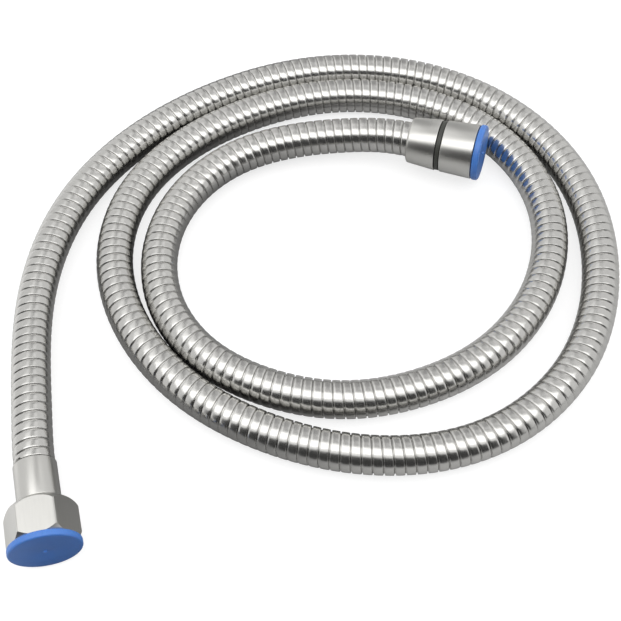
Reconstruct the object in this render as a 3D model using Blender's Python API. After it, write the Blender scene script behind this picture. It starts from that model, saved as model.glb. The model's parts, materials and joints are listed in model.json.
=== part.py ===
"""Stainless steel shower hose, lying in a flat loose coil.

A spiral-wound armour over a rubber inner tube joins two end fittings. One ends in a hexagon
nut that turns on its insert. The other ends in a conical nut in front of a tapered shell,
with a dark bearing ring between them, so the hose can't be twisted. A plastic cap closes
each nut.
"""
import math

import bmesh
import bpy
import numpy as np
from mathutils import Matrix, Vector

MM = 0.001

# Clearance between pieces that touch or turn in each other.
CLEARANCE = 0.3 * MM

# Hose.
HOSE_DIAMETER = 15.5 * MM
ARMOUR_WALL = 1.4 * MM
INNER_TUBE_WALL = 1.2 * MM
ARMOUR_BEVEL_RESOLUTION = 3
INNER_TUBE_BEVEL_RESOLUTION = 2
POINTS_PER_TURN = 28

# Water way and connecting thread, alike in both fittings.
THREAD_BORE_DIAMETER = 20.2 * MM
THREAD_LEAD_IN = 0.6 * MM
WATER_WAY_DIAMETER = 5.0 * MM
NECK_DIAMETER = 13.0 * MM
FLANGE_DIAMETER = 18.0 * MM
FLANGE_THICKNESS = 2.0 * MM
BARB_CORE_DROP = 0.5 * MM
BARB_PITCH = 3.0 * MM
WASHER_DIAMETER = 18.6 * MM
WASHER_BORE_DIAMETER = 11.0 * MM
WASHER_THICKNESS = 2.0 * MM
EDGE_BREAK = 0.35 * MM

# Protective caps.
CAP_PLUG_LENGTH = 6.0 * MM
CAP_PLUG_WALL = 1.2 * MM
CAP_FACE_WALL = 1.5 * MM
CAP_NIB_DIAMETER = 2.2 * MM
CAP_NIB_HEIGHT = 0.3 * MM

# Hexagon end, measured backwards from the cap's face.
HEX_CAP_DIAMETER = 27.2 * MM
HEX_CAP_THICKNESS = 2.7 * MM
HEX_CAP_EDGE = 0.4 * MM
HEX_ACROSS_FLATS = 24.0 * MM
HEX_NUT_LENGTH = 16.0 * MM
HEX_WEB = 3.0 * MM
HEX_MOUTH_CHAMFER = 1.0 * MM
HEX_SHOULDER_LENGTH = 3.0 * MM
HEX_SHOULDER_DROP = 2.7 * MM
FERRULE_DIAMETER = 16.4 * MM
FERRULE_LENGTH = 15.9 * MM
FERRULE_LIP = 1.0 * MM
INSERT_GROOVE_DEPTH = 0.8 * MM
INSERT_COLLAR_LENGTH = 1.2 * MM
HEX_BARB_COUNT = 4

# Conical end, measured backwards from the nut's mouth.
CONE_CAP_DIAMETER = 24.6 * MM
CONE_CAP_THICKNESS = 2.8 * MM
CONE_CAP_EDGE = 0.9 * MM
CONE_MOUTH_DIAMETER = 24.2 * MM
CONE_NUT_REAR_DIAMETER = 22.9 * MM
CONE_NUT_LENGTH = 14.4 * MM
CONE_WEB = 3.7 * MM
CONE_RING_DIAMETER = 22.1 * MM
CONE_RING_WIDTH = 1.8 * MM
CONE_SHELL_FRONT_DIAMETER = 22.7 * MM
CONE_SHELL_REAR_DIAMETER = 20.4 * MM
CONE_SHELL_LENGTH = 13.3 * MM
CONE_SHELL_REAR_EDGE = 1.0 * MM
CONE_SHELL_FRONT_WALL = 1.8 * MM
STEM_SHOULDER_DIAMETER = 14.8 * MM
STEM_SHOULDER_LENGTH = 1.2 * MM
SPIGOT_DIAMETER = 10.0 * MM
SPIGOT_LENGTH = 6.2 * MM
O_RING_SECTION = 1.4 * MM
O_RING_GROOVE_WIDTH = 2.0 * MM
TAIL_BACK_WALL = 0.8 * MM
CONE_BARB_COUNT = 2

# How the fittings lie: place in plan, heading and upward tilt of the axis out of the mouth.
HEX_FACE_PLACE = (-79.1 * MM, -99.2 * MM)
HEX_HEADING_DEG = -75.8
HEX_TILT_DEG = 1.5
CONE_MOUTH_PLACE = (89.7 * MM, 84.1 * MM)
CONE_MOUTH_HEIGHT = 17.0 * MM
CONE_HEADING_DEG = -18.04
CONE_TILT_DEG = 4.76
CONE_STRAIGHT_LEAD = 9.0 * MM
HEX_STRAIGHT_LEAD = 4.0 * MM

# Middle of the coil in plan, about which the hose winds.
COIL_MIDDLE = (20.6 * MM, 37.0 * MM)

# The hose's way from the hexagon end to the conical end: x, y in plan and its lift off the floor.
ROUTE_MM = [
    (-92.0, -42.8, 4.1),
    (-98.2, 14.2, 0.7),
    (-88.0, 62.5, 0.0),
    (-61.0, 100.5, 0.0),
    (-25.9, 125.9, 0.0),
    (15.0, 140.5, 0.0),
    (60.1, 139.8, 0.0),
    (104.5, 118.3, 0.0),
    (133.4, 78.5, 0.0),
    (139.3, 27.6, 0.0),
    (122.8, -19.5, 0.0),
    (85.9, -50.9, 0.0),
    (41.0, -58.7, 0.0),
    (1.6, -50.1, 0.0),
    (-30.9, -32.0, 0.0),
    (-55.0, -4.9, 0.0),
    (-67.4, 31.0, 0.0),
    (-61.9, 67.3, 0.0),
    (-39.8, 96.8, 0.0),
    (-9.7, 116.0, 0.0),
    (26.1, 126.0, 0.0),
    (65.5, 121.8, 0.0),
    (101.4, 98.9, 0.0),
    (119.3, 60.3, 0.0),
    (113.1, 18.6, 0.0),
    (89.9, -12.7, 0.0),
    (59.0, -29.7, 0.0),
    (27.1, -34.8, 0.0),
    (-2.0, -28.9, 0.0),
    (-26.4, -14.9, 0.0),
    (-44.4, 10.8, 0.0),
    (-48.1, 38.9, 0.1),
    (-38.7, 66.4, 0.6),
    (-16.6, 87.5, 1.5),
    (5.4, 95.5, 2.6),
    (30.7, 98.1, 4.1),
]

SEGMENTS = 36
HIDDEN_SEGMENTS = 24
O_RING_SIDES = 8

MATERIALS = {
    "steel_strip": ((0.62, 0.61, 0.59), 0.24, 1.0),
    "satin_steel": ((0.60, 0.59, 0.57), 0.36, 1.0),
    "brass": ((0.66, 0.50, 0.22), 0.35, 1.0),
    "tube_rubber": ((0.03, 0.03, 0.03), 0.75, 0.0),
    "washer_rubber": ((0.04, 0.04, 0.04), 0.70, 0.0),
    "ring_plastic": ((0.045, 0.045, 0.04), 0.45, 0.0),
    "blue_plastic": ((0.045, 0.14, 0.56), 0.40, 0.0),
}


def bevel_sides(resolution):
    """Number of sides of a round curve bevel."""
    return 4 + 2 * resolution


def flat_radius(radius, sides):
    """Distance from the middle of a regular polygon to its sides."""
    return radius * math.cos(math.pi / sides)


HOSE_RADIUS = HOSE_DIAMETER / 2
ARMOUR_BORE = flat_radius(HOSE_RADIUS, bevel_sides(ARMOUR_BEVEL_RESOLUTION)) - ARMOUR_WALL
TUBE_RADIUS = ARMOUR_BORE - CLEARANCE
TUBE_BORE = flat_radius(TUBE_RADIUS, bevel_sides(INNER_TUBE_BEVEL_RESOLUTION)) - INNER_TUBE_WALL
BARB_RADIUS = TUBE_BORE - CLEARANCE
THREAD_RADIUS = THREAD_BORE_DIAMETER / 2
NECK_RADIUS = NECK_DIAMETER / 2
NECK_BORE = NECK_RADIUS + CLEARANCE
WATER_WAY = WATER_WAY_DIAMETER / 2


def clear_scene():
    for obj in list(bpy.data.objects):
        bpy.data.objects.remove(obj, do_unlink=True)


def make_material(name):
    colour, roughness, metallic = MATERIALS[name]
    material = bpy.data.materials.new(name)
    material.use_nodes = True
    shader = material.node_tree.nodes["Principled BSDF"]
    shader.inputs["Base Color"].default_value = (*colour, 1.0)
    shader.inputs["Roughness"].default_value = roughness
    shader.inputs["Metallic"].default_value = metallic
    return material


def axis_frame(place, heading_deg, tilt_deg):
    """Frame at a fitting's mouth: Z runs out of the mouth, Y is the upward side."""
    heading = math.radians(heading_deg)
    tilt = math.radians(tilt_deg)
    outward = Vector((
        math.cos(heading) * math.cos(tilt),
        math.sin(heading) * math.cos(tilt),
        math.sin(tilt),
    ))
    side = Vector((0.0, 0.0, 1.0)).cross(outward).normalized()
    upward = outward.cross(side)
    turn = Matrix((-side, upward, outward)).transposed()
    if turn.determinant() < 0:
        turn = Matrix((side, upward, outward)).transposed()
    return Matrix.Translation(place) @ turn.to_4x4()


def add_object(name, mesh, frame, material):
    obj = bpy.data.objects.new(name, mesh)
    bpy.context.scene.collection.objects.link(obj)
    obj.matrix_world = frame
    obj.data.materials.append(material)
    return obj


def finish_mesh(bm, name, sharp_angle_deg=32.0):
    """Weld, turn the faces outwards and shade round walls smooth."""
    bmesh.ops.remove_doubles(bm, verts=bm.verts, dist=0.00001)
    bmesh.ops.recalc_face_normals(bm, faces=bm.faces)
    mesh = bpy.data.meshes.new(name)
    bm.to_mesh(mesh)
    bm.free()
    mesh.shade_smooth()
    mesh.set_sharp_from_angle(angle=math.radians(sharp_angle_deg))
    return mesh


def turned_mesh(name, profile, segments):
    """Solid turned about Z from a closed profile of (radius, height) points."""
    bm = bmesh.new()
    verts = [bm.verts.new((radius, 0.0, height)) for radius, height in profile]
    edges = []
    for start, end in zip(verts, verts[1:] + verts[:1]):
        on_axis = start.co.x == 0.0 and end.co.x == 0.0
        if not on_axis:
            edges.append(bm.edges.new((start, end)))
    bmesh.ops.spin(
        bm, geom=verts + edges, cent=(0, 0, 0), axis=(0, 0, 1), angle=math.tau,
        steps=segments, use_merge=True, use_duplicate=False,
    )
    return finish_mesh(bm, name)


def turned(name, profile, frame, material, segments=SEGMENTS):
    return add_object(name, turned_mesh(name, profile, segments), frame, material)


def hexagon_cutter(name, across_flats, top, bottom, frame):
    """Hexagonal bar with one flat facing up, used to cut the flats of a round blank."""
    bm = bmesh.new()
    corner = across_flats / math.sqrt(3)
    ring = []
    for index in range(6):
        angle = math.radians(60 * index)
        ring.append(bm.verts.new((corner * math.cos(angle), corner * math.sin(angle), bottom)))
    face = bm.faces.new(ring)
    raised = bmesh.ops.extrude_face_region(bm, geom=[face])
    upper = [item for item in raised["geom"] if isinstance(item, bmesh.types.BMVert)]
    bmesh.ops.translate(bm, verts=upper, vec=(0, 0, top - bottom))
    bmesh.ops.recalc_face_normals(bm, faces=bm.faces)
    mesh = bpy.data.meshes.new(name)
    bm.to_mesh(mesh)
    bm.free()
    cutter = bpy.data.objects.new(name, mesh)
    bpy.context.scene.collection.objects.link(cutter)
    cutter.matrix_world = frame
    cutter.hide_render = True
    cutter.display_type = "WIRE"
    return cutter


def quarter_round(radius, height, across, down, steps):
    """Points from an outer wall, over a rounded edge, to the face behind it."""
    points = []
    for step in range(steps + 1):
        angle = math.radians(90 * step / steps)
        points.append((radius - across * (1 - math.cos(angle)), height - down * math.sin(angle)))
    return points


def barbs(front, count):
    """Saw-toothed outside of a hose tail: each tooth rises forwards and drops off behind."""
    core = BARB_RADIUS - BARB_CORE_DROP
    points = [(core, front)]
    for index in range(count):
        tooth_front = front - index * BARB_PITCH - BARB_PITCH * 0.3
        points.append((core, tooth_front))
        points.append((BARB_RADIUS, tooth_front))
        points.append((core, front - (index + 1) * BARB_PITCH))
    return points


def barb_length(count):
    return count * BARB_PITCH


def cap_profile(diameter, thickness, edge, edge_steps, face):
    """Plastic cap: a disc with a rounded rim, and a thin-walled plug for the thread bore."""
    radius = diameter / 2
    plug = THREAD_RADIUS - CLEARANCE
    back = face - thickness
    plug_end = back - CAP_PLUG_LENGTH
    nib = CAP_NIB_DIAMETER / 2
    front_edge = quarter_round(radius, face - edge, edge, -edge, edge_steps)
    back_edge = quarter_round(radius, back + edge, edge, edge, edge_steps)
    cup = plug - CAP_PLUG_WALL
    outline = [(0.0, face + CAP_NIB_HEIGHT), (nib - CAP_NIB_HEIGHT, face + CAP_NIB_HEIGHT)]
    outline += [(nib, face)]
    outline += list(reversed(front_edge)) + back_edge
    outline += [(plug, back), (plug, plug_end + EDGE_BREAK), (plug - EDGE_BREAK, plug_end)]
    outline += [(cup, plug_end), (cup, face - CAP_FACE_WALL), (0.0, face - CAP_FACE_WALL)]
    return outline


def washer_profile(front):
    outer = WASHER_DIAMETER / 2
    inner = WASHER_BORE_DIAMETER / 2
    back = front - WASHER_THICKNESS
    return [(inner, front), (outer, front), (outer, back), (inner, back)]


# Places along the hexagon end, from the cap's face backwards.
HEX_NUT_FRONT = -(HEX_CAP_THICKNESS + CLEARANCE)
HEX_NUT_BACK = HEX_NUT_FRONT - HEX_NUT_LENGTH
HEX_SEAT = HEX_NUT_BACK + HEX_WEB
HEX_FLANGE_BACK = HEX_SEAT + CLEARANCE
HEX_FLANGE_FRONT = HEX_FLANGE_BACK + FLANGE_THICKNESS
HEX_WASHER_FRONT = HEX_FLANGE_FRONT + CLEARANCE + WASHER_THICKNESS
FERRULE_FRONT = HEX_NUT_BACK - CLEARANCE
FERRULE_BACK = FERRULE_FRONT - FERRULE_LENGTH
COLLAR_FRONT = FERRULE_FRONT - FERRULE_LIP - CLEARANCE
COLLAR_BACK = COLLAR_FRONT - INSERT_COLLAR_LENGTH
HEX_TUBE_END = COLLAR_BACK - CLEARANCE
HEX_ARMOUR_END = FERRULE_BACK - CLEARANCE

# Places along the conical end, from the nut's mouth backwards.
CONE_NUT_BACK = -CONE_NUT_LENGTH
CONE_SEAT = CONE_NUT_BACK + CONE_WEB
CONE_FLANGE_BACK = CONE_SEAT + CLEARANCE
CONE_FLANGE_FRONT = CONE_FLANGE_BACK + FLANGE_THICKNESS
CONE_WASHER_FRONT = CONE_FLANGE_FRONT + CLEARANCE + WASHER_THICKNESS
RING_FRONT = CONE_NUT_BACK - CLEARANCE
RING_BACK = RING_FRONT - CONE_RING_WIDTH
SHELL_FRONT = RING_BACK - CLEARANCE
SHELL_BACK = SHELL_FRONT - CONE_SHELL_LENGTH
SHELL_POCKET = SHELL_FRONT - CONE_SHELL_FRONT_WALL
SHOULDER_FRONT = SHELL_POCKET - CLEARANCE
SHOULDER_BACK = SHOULDER_FRONT - STEM_SHOULDER_LENGTH
TAIL_FRONT = SHOULDER_BACK - CLEARANCE
SPIGOT_BACK = SHOULDER_BACK - SPIGOT_LENGTH
SOCKET_FLOOR = SPIGOT_BACK - CLEARANCE
TAIL_BACK = SOCKET_FLOOR - TAIL_BACK_WALL
CONE_HOSE_END = TAIL_BACK - CLEARANCE

SPIGOT_RADIUS = SPIGOT_DIAMETER / 2
SOCKET_BORE = SPIGOT_RADIUS + CLEARANCE
O_RING_MIDDLE_RADIUS = SPIGOT_RADIUS - O_RING_SECTION / 2
O_RING_GROOVE_RADIUS = SPIGOT_RADIUS - O_RING_SECTION - CLEARANCE
O_RING_PLACE = SHOULDER_BACK - SPIGOT_LENGTH / 2


def hex_nut(frame, material):
    """Round blank with a threaded mouth and a turning web, cut to a hexagon."""
    flat = HEX_ACROSS_FLATS / 2
    corner = HEX_ACROSS_FLATS / math.sqrt(3) + 0.1 * MM
    shoulder_top = HEX_NUT_BACK + HEX_SHOULDER_LENGTH
    profile = [
        (THREAD_RADIUS + THREAD_LEAD_IN, HEX_NUT_FRONT),
        (corner - HEX_MOUTH_CHAMFER, HEX_NUT_FRONT),
        (corner, HEX_NUT_FRONT - HEX_MOUTH_CHAMFER),
    ]
    profile += quarter_round(corner, shoulder_top, HEX_SHOULDER_DROP, HEX_SHOULDER_LENGTH, 5)
    profile += [
        (NECK_BORE, HEX_NUT_BACK),
        (NECK_BORE, HEX_SEAT),
        (THREAD_RADIUS, HEX_SEAT),
        (THREAD_RADIUS, HEX_NUT_FRONT - THREAD_LEAD_IN),
    ]
    nut = turned("hex_nut", profile, frame, material)
    margin = flat / 4
    cutter = hexagon_cutter(
        "hexagon_guide", HEX_ACROSS_FLATS, HEX_NUT_FRONT + margin, HEX_NUT_BACK - margin, frame)
    cut = nut.modifiers.new("hexagon", "BOOLEAN")
    cut.operation = "INTERSECT"
    cut.object = cutter
    return nut


def hex_insert(frame, material):
    """Flanged hose tail with a groove that the ferrule's lip grips."""
    groove = NECK_RADIUS - INSERT_GROOVE_DEPTH
    outer = [
        (WATER_WAY, HEX_FLANGE_FRONT),
        (FLANGE_DIAMETER / 2, HEX_FLANGE_FRONT),
        (FLANGE_DIAMETER / 2, HEX_FLANGE_BACK),
        (NECK_RADIUS, HEX_FLANGE_BACK),
        (NECK_RADIUS, HEX_NUT_BACK),
        (groove, HEX_NUT_BACK),
        (groove, COLLAR_FRONT),
        (NECK_RADIUS, COLLAR_FRONT),
        (NECK_RADIUS, COLLAR_BACK),
    ]
    outer += barbs(COLLAR_BACK, HEX_BARB_COUNT)
    outer += [(WATER_WAY, COLLAR_BACK - barb_length(HEX_BARB_COUNT))]
    return turned("hex_insert", outer, frame, material, HIDDEN_SEGMENTS)


def hex_ferrule(frame, material):
    """Smooth sleeve that crimps the inner tube on to the insert's barbs."""
    radius = FERRULE_DIAMETER / 2
    lip_bore = NECK_RADIUS - INSERT_GROOVE_DEPTH + CLEARANCE
    lip_back = FERRULE_FRONT - FERRULE_LIP
    pocket_back = COLLAR_BACK - CLEARANCE
    tube_bore = TUBE_RADIUS + CLEARANCE
    profile = [
        (lip_bore, FERRULE_FRONT),
        (radius - EDGE_BREAK, FERRULE_FRONT),
        (radius, FERRULE_FRONT - EDGE_BREAK),
        (radius, FERRULE_BACK + EDGE_BREAK),
        (radius - EDGE_BREAK, FERRULE_BACK),
        (tube_bore, FERRULE_BACK),
        (tube_bore, pocket_back),
        (NECK_BORE, pocket_back),
        (NECK_BORE, lip_back),
        (lip_bore, lip_back),
    ]
    return turned("hex_ferrule", profile, frame, material)


def cone_nut(frame, material):
    """Slightly tapered round nut with a threaded mouth and a turning web."""
    mouth = CONE_MOUTH_DIAMETER / 2
    rear = CONE_NUT_REAR_DIAMETER / 2
    profile = [
        (THREAD_RADIUS + THREAD_LEAD_IN, 0.0),
        (mouth - EDGE_BREAK, 0.0),
        (mouth, -EDGE_BREAK),
        (rear, CONE_NUT_BACK + EDGE_BREAK),
        (rear - EDGE_BREAK, CONE_NUT_BACK),
        (NECK_BORE, CONE_NUT_BACK),
        (NECK_BORE, CONE_SEAT),
        (THREAD_RADIUS, CONE_SEAT),
        (THREAD_RADIUS, -THREAD_LEAD_IN),
    ]
    return turned("cone_nut", profile, frame, material)


def cone_ring(frame, material):
    """Dark bearing ring that the nut turns against."""
    radius = CONE_RING_DIAMETER / 2
    profile = [
        (NECK_BORE, RING_FRONT),
        (radius, RING_FRONT),
        (radius, RING_BACK),
        (NECK_BORE, RING_BACK),
    ]
    return turned("cone_ring", profile, frame, material)


def cone_shell(frame, material):
    """Tapered rear shell, fixed to the hose, with a rounded edge over the armour."""
    front = CONE_SHELL_FRONT_DIAMETER / 2
    rear = CONE_SHELL_REAR_DIAMETER / 2
    bore = HOSE_RADIUS + CLEARANCE
    rear_edge = quarter_round(
        rear, SHELL_BACK + CONE_SHELL_REAR_EDGE, CONE_SHELL_REAR_EDGE, CONE_SHELL_REAR_EDGE, 3)
    profile = [
        (NECK_BORE, SHELL_FRONT),
        (front - EDGE_BREAK, SHELL_FRONT),
        (front, SHELL_FRONT - EDGE_BREAK),
    ]
    profile += rear_edge
    profile += [
        (bore, SHELL_BACK),
        (bore, SHELL_POCKET),
        (NECK_BORE, SHELL_POCKET),
    ]
    return turned("cone_shell", profile, frame, material)


def cone_stem(frame, material):
    """Flanged tube that turns in the tail's socket, with a groove for the sealing ring."""
    groove_half = O_RING_GROOVE_WIDTH / 2
    shoulder = STEM_SHOULDER_DIAMETER / 2
    profile = [
        (WATER_WAY, CONE_FLANGE_FRONT),
        (FLANGE_DIAMETER / 2, CONE_FLANGE_FRONT),
        (FLANGE_DIAMETER / 2, CONE_FLANGE_BACK),
        (NECK_RADIUS, CONE_FLANGE_BACK),
        (NECK_RADIUS, SHOULDER_FRONT),
        (shoulder, SHOULDER_FRONT),
        (shoulder, SHOULDER_BACK),
        (SPIGOT_RADIUS, SHOULDER_BACK),
        (SPIGOT_RADIUS, O_RING_PLACE + groove_half),
        (O_RING_GROOVE_RADIUS, O_RING_PLACE + groove_half),
        (O_RING_GROOVE_RADIUS, O_RING_PLACE - groove_half),
        (SPIGOT_RADIUS, O_RING_PLACE - groove_half),
        (SPIGOT_RADIUS, SPIGOT_BACK),
        (WATER_WAY, SPIGOT_BACK),
    ]
    return turned("cone_stem", profile, frame, material, HIDDEN_SEGMENTS)


def cone_o_ring(frame, material):
    """Sealing ring in the stem's groove."""
    profile = []
    for side in range(O_RING_SIDES):
        angle = -math.tau * side / O_RING_SIDES
        radius = O_RING_MIDDLE_RADIUS + math.cos(angle) * O_RING_SECTION / 2
        profile.append((radius, O_RING_PLACE + math.sin(angle) * O_RING_SECTION / 2))
    return turned("cone_o_ring", profile, frame, material, HIDDEN_SEGMENTS)


def cone_tail(frame, material):
    """Socket for the turning stem, with a barbed hose tail behind it."""
    profile = [
        (SOCKET_BORE, TAIL_FRONT),
        (HOSE_RADIUS, TAIL_FRONT),
        (HOSE_RADIUS, TAIL_BACK),
    ]
    profile += barbs(TAIL_BACK, CONE_BARB_COUNT)
    profile += [
        (WATER_WAY, TAIL_BACK - barb_length(CONE_BARB_COUNT)),
        (WATER_WAY, SOCKET_FLOOR),
        (SOCKET_BORE, SOCKET_FLOOR),
    ]
    return turned("cone_tail", profile, frame, material, HIDDEN_SEGMENTS)


def cubic_through(points, start_direction, end_direction):
    """Smooth curve through points, with its direction set at both ends.

    Returns the lengths along the chords and a function from such a length to a place.
    """
    places = np.array(points)
    chords = np.linalg.norm(np.diff(places, axis=0), axis=1)
    marks = np.concatenate(([0.0], np.cumsum(chords)))
    count = len(places)
    matrix = np.zeros((count, count))
    right = np.zeros((count, 3))
    matrix[0, 0] = 1.0
    matrix[-1, -1] = 1.0
    right[0] = start_direction
    right[-1] = end_direction
    for row in range(1, count - 1):
        before = chords[row - 1]
        after = chords[row]
        matrix[row, row - 1] = after
        matrix[row, row] = 2 * (before + after)
        matrix[row, row + 1] = before
        step_before = (places[row] - places[row - 1]) / before
        step_after = (places[row + 1] - places[row]) / after
        right[row] = 3 * (after * step_before + before * step_after)
    slopes = np.linalg.solve(matrix, right)

    def at(mark):
        index = int(np.clip(np.searchsorted(marks, mark) - 1, 0, count - 2))
        span = chords[index]
        t = (mark - marks[index]) / span
        return (
            (2 * t**3 - 3 * t**2 + 1) * places[index]
            + (t**3 - 2 * t**2 + t) * span * slopes[index]
            + (-2 * t**3 + 3 * t**2) * places[index + 1]
            + (t**3 - t**2) * span * slopes[index + 1]
        )

    return marks, at


def hose_points(hex_frame, cone_frame):
    """Middle line of the armour, with its points on rays from the middle of the coil.

    Neighbouring turns then bend at the same rays, so their flat sides stay parallel.
    """
    hex_end = hex_frame @ Vector((0, 0, HEX_ARMOUR_END))
    hex_lead = hex_frame @ Vector((0, 0, HEX_ARMOUR_END - HEX_STRAIGHT_LEAD))
    cone_end = cone_frame @ Vector((0, 0, CONE_HOSE_END))
    cone_lead = cone_frame @ Vector((0, 0, CONE_HOSE_END - CONE_STRAIGHT_LEAD))
    free = [(x * MM, y * MM, lift * MM + HOSE_RADIUS) for x, y, lift in ROUTE_MM]
    through = [tuple(hex_end)] + free + [tuple(cone_lead), tuple(cone_end)]
    leaving = -(hex_frame.to_3x3() @ Vector((0, 0, 1)))
    arriving = cone_frame.to_3x3() @ Vector((0, 0, 1))
    marks, at = cubic_through(through, leaving, arriving)
    fine = np.array([at(mark) for mark in np.linspace(0.0, marks[-1], 4000)])
    turn = np.unwrap(np.arctan2(fine[:, 1] - COIL_MIDDLE[1], fine[:, 0] - COIL_MIDDLE[0]))
    ray_step = math.tau / POINTS_PER_TURN
    first_ray = math.floor(turn[0] / ray_step - 0.4)
    last_ray = math.ceil(turn[-1] / ray_step + 0.4)
    rays = np.arange(first_ray, last_ray - 1, -1) * ray_step
    middle = np.stack([np.interp(-rays, -turn, fine[:, axis]) for axis in range(3)], axis=1)
    from_cone = np.linalg.norm(middle - np.array(cone_end), axis=1)
    from_hex = np.linalg.norm(middle - np.array(hex_end), axis=1)
    apart = (from_cone > 1.5 * CONE_STRAIGHT_LEAD) & (from_hex > 2.0 * HEX_STRAIGHT_LEAD)
    free_points = [tuple(place) for place in middle[apart]]
    return [tuple(hex_end), tuple(hex_lead)] + free_points + [tuple(cone_lead), tuple(cone_end)]


def hose_tube(name, points, radius, wall, resolution, material):
    """Round tube along the points, open at both ends, with its wall inside the radius."""
    curve = bpy.data.curves.new(name, "CURVE")
    curve.dimensions = "3D"
    curve.twist_mode = "Z_UP"
    curve.bevel_depth = radius
    curve.bevel_resolution = resolution
    curve.use_fill_caps = False
    spline = curve.splines.new("POLY")
    spline.points.add(len(points) - 1)
    for point, place in zip(spline.points, points):
        point.co = (*place, 1.0)
    spline.use_smooth = True
    obj = bpy.data.objects.new(name, curve)
    bpy.context.scene.collection.objects.link(obj)
    curve.materials.append(material)
    thicken = obj.modifiers.new("wall", "SOLIDIFY")
    thicken.thickness = wall
    thicken.offset = -1.0
    thicken.use_even_offset = True
    thicken.use_rim = True
    return obj


def build():
    clear_scene()
    materials = {name: make_material(name) for name in MATERIALS}
    tilt = math.radians(HEX_TILT_DEG)
    rim_drop = (HEX_CAP_THICKNESS - HEX_CAP_EDGE) * math.sin(tilt)
    hex_height = HEX_CAP_DIAMETER / 2 * math.cos(tilt) + rim_drop
    hex_frame = axis_frame((*HEX_FACE_PLACE, hex_height), HEX_HEADING_DEG, HEX_TILT_DEG)
    cone_frame = axis_frame(
        (*CONE_MOUTH_PLACE, CONE_MOUTH_HEIGHT), CONE_HEADING_DEG, CONE_TILT_DEG)

    armour_points = hose_points(hex_frame, cone_frame)
    tube_start = tuple(hex_frame @ Vector((0, 0, HEX_TUBE_END)))
    tube_points = [tube_start] + armour_points
    hose_tube("hose_armour", armour_points, HOSE_RADIUS, ARMOUR_WALL,
              ARMOUR_BEVEL_RESOLUTION, materials["steel_strip"])
    hose_tube("inner_tube", tube_points, TUBE_RADIUS, INNER_TUBE_WALL,
              INNER_TUBE_BEVEL_RESOLUTION, materials["tube_rubber"])

    steel = materials["satin_steel"]
    blue = materials["blue_plastic"]
    brass = materials["brass"]
    rubber = materials["washer_rubber"]
    hex_nut(hex_frame, steel)
    hex_insert(hex_frame, brass)
    hex_ferrule(hex_frame, steel)
    turned("hex_washer", washer_profile(HEX_WASHER_FRONT), hex_frame, rubber, HIDDEN_SEGMENTS)
    hex_cap = cap_profile(HEX_CAP_DIAMETER, HEX_CAP_THICKNESS, HEX_CAP_EDGE, 1, 0.0)
    turned("hex_cap", hex_cap, hex_frame, blue)

    cone_nut(cone_frame, steel)
    cone_ring(cone_frame, materials["ring_plastic"])
    cone_shell(cone_frame, steel)
    cone_stem(cone_frame, brass)
    cone_o_ring(cone_frame, rubber)
    cone_tail(cone_frame, brass)
    turned("cone_washer", washer_profile(CONE_WASHER_FRONT), cone_frame, rubber, HIDDEN_SEGMENTS)
    cone_face = CONE_CAP_THICKNESS + CLEARANCE
    cone_cap = cap_profile(CONE_CAP_DIAMETER, CONE_CAP_THICKNESS, CONE_CAP_EDGE, 2, cone_face)
    turned("cone_cap", cone_cap, cone_frame, blue)


build()
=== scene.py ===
import json
import math

import bmesh
import bpy
import numpy as np
from mathutils import Matrix, Vector


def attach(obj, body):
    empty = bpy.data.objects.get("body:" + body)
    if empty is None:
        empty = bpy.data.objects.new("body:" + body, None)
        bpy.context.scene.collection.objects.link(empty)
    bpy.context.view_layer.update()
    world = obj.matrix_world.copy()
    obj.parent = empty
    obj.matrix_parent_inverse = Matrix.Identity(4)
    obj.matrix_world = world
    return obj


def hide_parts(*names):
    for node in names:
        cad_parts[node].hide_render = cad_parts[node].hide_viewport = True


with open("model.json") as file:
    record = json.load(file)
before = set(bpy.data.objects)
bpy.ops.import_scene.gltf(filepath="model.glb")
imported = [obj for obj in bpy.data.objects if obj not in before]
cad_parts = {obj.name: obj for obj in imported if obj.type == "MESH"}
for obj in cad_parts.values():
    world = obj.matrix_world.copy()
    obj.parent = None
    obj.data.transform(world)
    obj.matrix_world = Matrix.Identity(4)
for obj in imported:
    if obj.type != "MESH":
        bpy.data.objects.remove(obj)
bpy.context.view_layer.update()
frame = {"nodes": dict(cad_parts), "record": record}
nodes = frame["nodes"]
mm = 0.001


# The photograph's camera, placed in metres and looking down at the coil.
camera = {
    "place": (0.0161, -0.2350, 0.3945),
    "downDeg": 58.0,
    "lens": 63.72,    # mm, on the sensor below
    "sensor": 36.0,
    "clip": (0.01, 20.0),
}


def addCamera():
    data = bpy.data.cameras.new("camera")
    data.lens = camera["lens"]
    data.sensor_width = camera["sensor"]
    data.clip_start, data.clip_end = camera["clip"]
    obj = bpy.data.objects.new("camera", data)
    bpy.context.scene.collection.objects.link(obj)
    obj.location = camera["place"]
    obj.rotation_euler = (math.radians(90.0 - camera["downDeg"]), 0.0, 0.0)
    bpy.context.scene.camera = obj


addCamera()
print("camera placed")


# Each fitting is built round its own axis, from its face backwards; the joint says where that is.
def jointFrame(jointName):
    joint = next(j for j in frame["record"]["behaviour"]["joints"] if j["name"] == jointName)
    outward = Vector(joint["axis"]).normalized()
    side = outward.cross(Vector((0.0, 0.0, 1.0))).normalized()
    upward = side.cross(outward)
    turn = Matrix((-side, upward, outward)).transposed()
    return Matrix.Translation(joint["pos_m"]) @ turn.to_4x4()


hexFrame = jointFrame("hex_nut_turn")
coneFrame = jointFrame("cone_nut_turn")


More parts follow.
